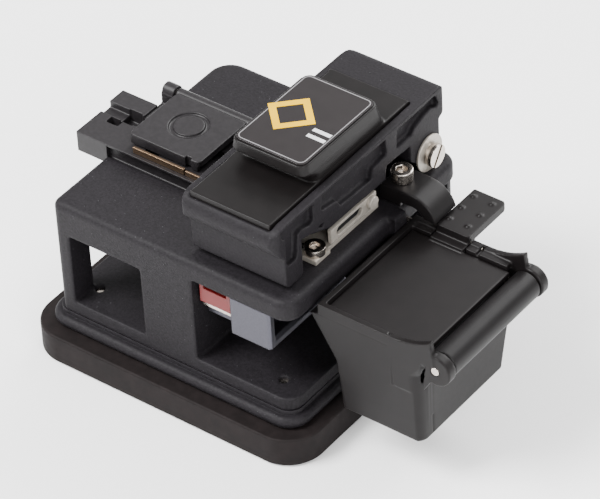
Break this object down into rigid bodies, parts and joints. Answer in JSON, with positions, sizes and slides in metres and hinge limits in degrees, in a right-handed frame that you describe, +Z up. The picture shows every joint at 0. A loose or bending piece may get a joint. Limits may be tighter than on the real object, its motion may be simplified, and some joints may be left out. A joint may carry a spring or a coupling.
{
  "type": "fibre cleaver",
  "caption": "Hand-held precision optical fibre cleaver with a hinged cutting arm, sliding blade carriage, fibre clamp lid and roller scrap collector on a cast body.",
  "frame": {"origin": "centre of the rubber mat's bottom face, on the bench", "axes": "+X to the right towards the scrap collector, +Y to the back towards the arm's hinge, +Z up"},
  "size_m": [0.0992, 0.066, 0.0607],
  "materials": {
    "mat_rubber": "moulded non-slip rubber, brown-black",
    "cast_black": "textured black powder coat on a casting",
    "anodised_black": "satin black anodise",
    "steel": "bright machined steel",
    "dark_screw": "blackened steel",
    "aluminium": "satin bead-blasted aluminium",
    "strip_bronze": "bronze-tinted spring strip",
    "pad_rubber": "soft black rubber pad",
    "seal_red": "red slide end seal",
    "blade_carbide": "ground tungsten carbide",
    "cover_plastic": "satin moulded plastic",
    "label_gloss": "glossy dark grey printed label",
    "mark_yellow": null,
    "collector_plastic": "satin moulded plastic",
    "roller_rubber": "smooth rubber-coated roller"
  },
  "bodies": {
    "base": {"rubber_mat": "mat_rubber", "base_plate": "cast_black", "base_screws": "steel", "body_casting": "cast_black", "fibre_guide": "anodised_black", "fibre_guide_screws": "dark_screw", "fibre_stop_strip": "strip_bronze", "lid_hinge_pin": "steel", "slide_rail": "steel", "slide_rail_screws": "dark_screw", "hinge_block": "aluminium", "hinge_block_screws": "dark_screw", "hinge_screw": "steel", "hinge_washer": "steel", "hinge_clip": "dark_screw", "torsion_spring": "steel", "lower_clamps": "aluminium", "lower_pads": "pad_rubber", "lower_clamp_screws": "steel", "clamp_side_plate": "steel", "side_plate_pad": "pad_rubber", "side_plate_screw": "steel", "collector_bracket": "cover_plastic", "bracket_screw": "steel", "collector_pin": "steel", "collector_bin": "collector_plastic", "collector_lid_pin": "steel", "transport_roller_pin": "steel", "nip_roller_pin": "steel"},
    "clamp_lid": {"clamp_lid": "anodised_black", "clamp_lid_pad": "pad_rubber", "clamp_lid_magnet": "steel"},
    "carriage": {"slide_block": "steel", "slide_end_seals": "seal_red", "carriage": "aluminium", "carriage_screws": "dark_screw", "blade_holder": "aluminium", "blade_axle": "steel", "blade_height_screw": "dark_screw"},
    "blade": {"blade_wheel": "blade_carbide"},
    "arm": {"arm": "cast_black", "arm_cover": "cover_plastic", "label_plate": "label_gloss", "label_mark": "mark_yellow", "latch_plate": "steel", "clamp_holders": "aluminium", "anvil_holder": "aluminium", "clamp_spring_left": "steel", "clamp_spring_right": "steel", "anvil_spring": "steel"},
    "left_clamp": {"upper_clamp_left": "pad_rubber"},
    "right_clamp": {"upper_clamp_right": "pad_rubber"},
    "anvil": {"anvil": "steel"},
    "collector_lid": {"collector_lid": "collector_plastic"},
    "transport_roller": {"transport_roller": "roller_rubber"},
    "nip_roller": {"nip_roller": "roller_rubber"}
  },
  "joints": [
    {"name": "arm_hinge", "type": "hinge", "parent": "base", "child": "arm", "pos_m": [0.0164, 0.0216, 0.0417], "axis": [-1, 0, 0], "range_deg": [0, 60]},
    {"name": "clamp_lid_hinge", "type": "hinge", "parent": "base", "child": "clamp_lid", "pos_m": [-0.0156, 0.0094, 0.0416], "axis": [-1, 0, 0], "range_deg": [0, 105]},
    {"name": "carriage_slide", "type": "slide", "parent": "base", "child": "carriage", "axis": [0, 1, 0], "range_m": [0, 0.02]},
    {"name": "blade_index", "type": "hinge", "parent": "carriage", "child": "blade", "pos_m": [0.0164, -0.0119, 0.03225], "axis": [1, 0, 0], "continuous": true},
    {"name": "left_clamp_travel", "type": "slide", "parent": "arm", "child": "left_clamp", "axis": [0, 0, 1], "range_m": [0, 0.0008], "stiffness_N_per_m": 300, "springref_m": -0.001, "deforming": ["clamp_spring_left"]},
    {"name": "right_clamp_travel", "type": "slide", "parent": "arm", "child": "right_clamp", "axis": [0, 0, 1], "range_m": [0, 0.0008], "stiffness_N_per_m": 300, "springref_m": -0.001, "deforming": ["clamp_spring_right"]},
    {"name": "anvil_travel", "type": "slide", "parent": "arm", "child": "anvil", "axis": [0, 0, 1], "range_m": [0, 0.0008], "stiffness_N_per_m": 300, "springref_m": -0.001, "deforming": ["anvil_spring"]},
    {"name": "collector_lid_hinge", "type": "hinge", "parent": "base", "child": "collector_lid", "pos_m": [0.04215, 0.0103, 0.0343], "axis": [-1, 0, 0], "range_deg": [0, 50]},
    {"name": "roller_spin", "type": "hinge", "parent": "base", "child": "transport_roller", "pos_m": [0.0597, -0.00475, 0.0314], "axis": [0, 1, 0], "continuous": true},
    {"name": "nip_spin", "type": "hinge", "parent": "base", "child": "nip_roller", "pos_m": [0.0537, -0.0063, 0.0292], "axis": [0, 1, 0], "continuous": true}
  ],
  "couplings": [
    {"joint": "nip_spin", "follows": "roller_spin", "ratio": -1}
  ]
}
